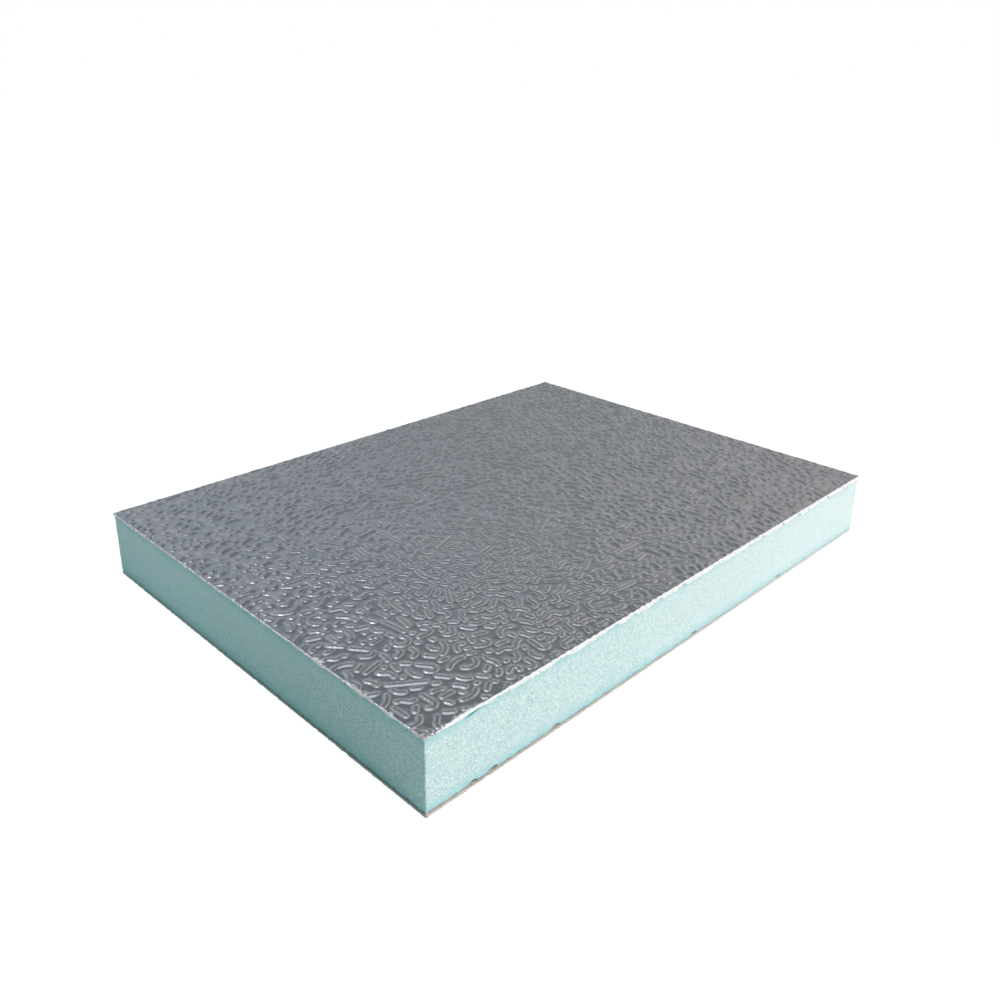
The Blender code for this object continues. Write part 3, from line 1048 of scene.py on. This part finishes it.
# The sky that the foil mirrors, by elevation in degrees: ahead of the camera, around and beside
SKY_AHEAD = (
    (0, rgb(0.82, 0.76, 0.70)),
    (7, rgb(0.74, 0.69, 0.64)),
    (10.5, rgb(0.07, 0.07, 0.07)),
    (14.5, rgb(0.10, 0.10, 0.105)),
    (19, rgb(0.43, 0.435, 0.45)),
    (25, rgb(0.31, 0.32, 0.335)),
    (37, rgb(0.155, 0.16, 0.165)),
    (50, rgb(0.16, 0.165, 0.17)),
    (66, rgb(0.25, 0.26, 0.275)),
    (90, rgb(0.34, 0.36, 0.38)),
)
SKY_AROUND = (
    (0, rgb(0.42, 0.40, 0.38)),
    (8, rgb(0.38, 0.36, 0.35)),
    (12, rgb(0.27, 0.27, 0.275)),
    (18, rgb(0.33, 0.335, 0.35)),
    (25, rgb(0.31, 0.315, 0.33)),
    (33, rgb(0.45, 0.43, 0.41)),
    (44, rgb(0.44, 0.42, 0.40)),
    (54, rgb(0.34, 0.335, 0.33)),
    (66, rgb(0.27, 0.275, 0.285)),
    (90, rgb(0.34, 0.36, 0.38)),
)
SKY_BESIDE = (
    (0, rgb(0.66, 0.64, 0.62)),
    (6, rgb(0.52, 0.50, 0.49)),
    (11, rgb(0.20, 0.20, 0.205)),
    (17, rgb(0.22, 0.225, 0.23)),
    (24, rgb(0.36, 0.365, 0.38)),
    (33, rgb(0.50, 0.49, 0.48)),
    (42, rgb(0.36, 0.355, 0.35)),
    (54, rgb(0.20, 0.20, 0.205)),
    (68, rgb(0.27, 0.275, 0.285)),
    (90, rgb(0.34, 0.36, 0.38)),
)
SKY_LEFT = rgb(0.88, 0.99, 1.10)
SKY_RIGHT = rgb(1.13, 1.12, 1.13)

# Where one sky goes over into the next: cosines of the angle from straight ahead, or from the right
AHEAD_FROM = (0.922, 0.955)
BESIDE_UNTIL = (0.35, 0.6)
LEFT_TO_RIGHT = (-0.6, 0.6)

# The lamps: name, direction, distance, size, power and colour
KEY_LAMP = ("key", Vector((0.35, -0.75, 0.55)), 1.6, 1.5, 27.0, (1.0, 0.885, 0.875))
GLOSS_LAMPS = (
    ("window", Vector((0.195, 0.301, 0.934)), 0.62, 0.28, 0.078, (0.92, 0.98, 1.05)),
    ("glint", Vector((0.08, 0.50, 0.86)), 0.7, 0.07, 0.036, (1.0, 1.0, 1.0)),
    ("rim", Vector((-0.27, 0.68, 0.68)), 0.6, 0.24, 0.32, (1.0, 1.0, 1.0)),
)


def sky(nodes, stops, height):
    """The sky's colour by elevation, from stops in degrees."""
    ramp = nodes.add("ShaderNodeValToRGB", inputs={"Fac": height})
    elements = ramp.color_ramp.elements
    while len(elements) < len(stops):
        elements.new(0.5)
    for element, (degrees, colour) in zip(elements, stops):
        element.position = math.sin(math.radians(degrees))
        element.color = colour
    return ramp.outputs["Color"]


def build_world():
    """White behind the board, a soft even light on matt surfaces, and a graded sky in the foil."""
    world = bpy.data.worlds.new("studio")
    bpy.context.scene.world = world
    world.use_nodes = True
    world.node_tree.nodes.clear()
    nodes = Nodes(world.node_tree, "Generated")
    level = nodes.vector("NORMALIZE", nodes.vector("MULTIPLY", nodes.place, (1, 1, 0)), (0, 0, 0))
    ahead = (math.cos(VIEW_AZIMUTH), math.sin(VIEW_AZIMUTH), 0)
    right = (math.sin(VIEW_AZIMUTH), -math.cos(VIEW_AZIMUTH), 0)
    height = nodes.axis("Z")
    along_view = nodes.vector("DOT_PRODUCT", level, ahead, "Value")
    facing = nodes.ramp(along_view, *AHEAD_FROM)
    colour = nodes.mix(facing, sky(nodes, SKY_AROUND, height), sky(nodes, SKY_AHEAD, height))
    beside = nodes.ramp(along_view, *BESIDE_UNTIL, 1, 0)
    colour = nodes.mix(beside, colour, sky(nodes, SKY_BESIDE, height))
    side = nodes.ramp(nodes.vector("DOT_PRODUCT", level, right, "Value"), *LEFT_TO_RIGHT)
    colour = nodes.mix(1.0, colour, nodes.mix(side, SKY_LEFT, SKY_RIGHT), "MULTIPLY")
    path = nodes.add("ShaderNodeLightPath")
    colour = nodes.mix(path.outputs["Is Glossy Ray"], AMBIENT, colour)
    colour = nodes.mix(path.outputs["Is Camera Ray"], colour, rgb(1, 1, 1))
    background = nodes.add("ShaderNodeBackground", inputs={"Color": colour})
    nodes.add("ShaderNodeOutputWorld", inputs={"Surface": background.outputs[0]})


def build_floor():
    """A pale floor: white to the camera but for soft shadows, and dim in the foil."""
    bpy.ops.mesh.primitive_plane_add(size=FLOOR_SIZE, location=(0, 0, -FLOOR_BELOW))
    floor = bpy.context.active_object
    floor.name = "floor"
    material = bpy.data.materials.new("pale_floor")
    material.use_nodes = True
    material.node_tree.nodes.clear()
    nodes = Nodes(material.node_tree, "Object")
    path = nodes.add("ShaderNodeLightPath")
    matt = nodes.add("ShaderNodeBsdfDiffuse", inputs={"Color": FLOOR_PALE}).outputs[0]
    glow = nodes.add("ShaderNodeEmission", inputs={"Strength": FLOOR_GLOW}).outputs[0]
    dim = nodes.add("ShaderNodeEmission", inputs={"Color": FLOOR_IN_GLOSS}).outputs[0]
    white = nodes.blend(FLOOR_GLOW_SHARE, matt, glow)
    seen = nodes.blend(path.outputs["Is Camera Ray"], matt, white)
    shown = nodes.blend(path.outputs["Is Glossy Ray"], seen, dim)
    nodes.add("ShaderNodeOutputMaterial", inputs={"Surface": shown})
    floor.data.materials.append(material)


def add_lamp(aim, name, direction, distance, size, power, colour):
    """A round lamp that shines at a place."""
    light = bpy.data.lights.new(name, "AREA")
    light.shape = "DISK"
    light.size = size
    light.energy = power
    light.color = colour
    holder = bpy.data.objects.new(name, light)
    holder.location = aim + direction.normalized() * distance
    holder.rotation_euler = (-direction).to_track_quat("-Z", "Y").to_euler()
    bpy.context.scene.collection.objects.link(holder)
    return holder


def build_studio():
    """The key lamp is for the matt sides, and the near ones show only in gloss."""
    build_world()
    build_floor()
    key = add_lamp(Vector(), *KEY_LAMP)
    key.visible_glossy = False
    near = NEAR_CORNER + Vector((0, 0, FOIL_HIGH.z))
    for values in GLOSS_LAMPS:
        lamp = add_lamp(near, *values)
        lamp.visible_diffuse = False
        lamp.visible_camera = False
    bpy.context.scene.view_settings.view_transform = "Standard"


def build_camera():
    camera = bpy.data.cameras.new("camera")
    camera.lens = CAMERA_LENS
    camera.sensor_width = CAMERA_SENSOR
    camera.shift_x, camera.shift_y = CAMERA_SHIFT
    camera.clip_start = 0.01
    holder = bpy.data.objects.new("camera", camera)
    turn = (CAMERA_AIM - CAMERA_PLACE).to_track_quat("-Z", "Y").to_matrix().to_4x4()
    holder.matrix_world = Matrix.Translation(CAMERA_PLACE) @ turn @ Matrix.Rotation(CAMERA_ROLL, 4, "Z")
    bpy.context.scene.collection.objects.link(holder)
    bpy.context.scene.camera = holder


build_camera()
build_studio()
build_felt(felt_material())
build_foam(foam_material())
build_foil(foil_material())
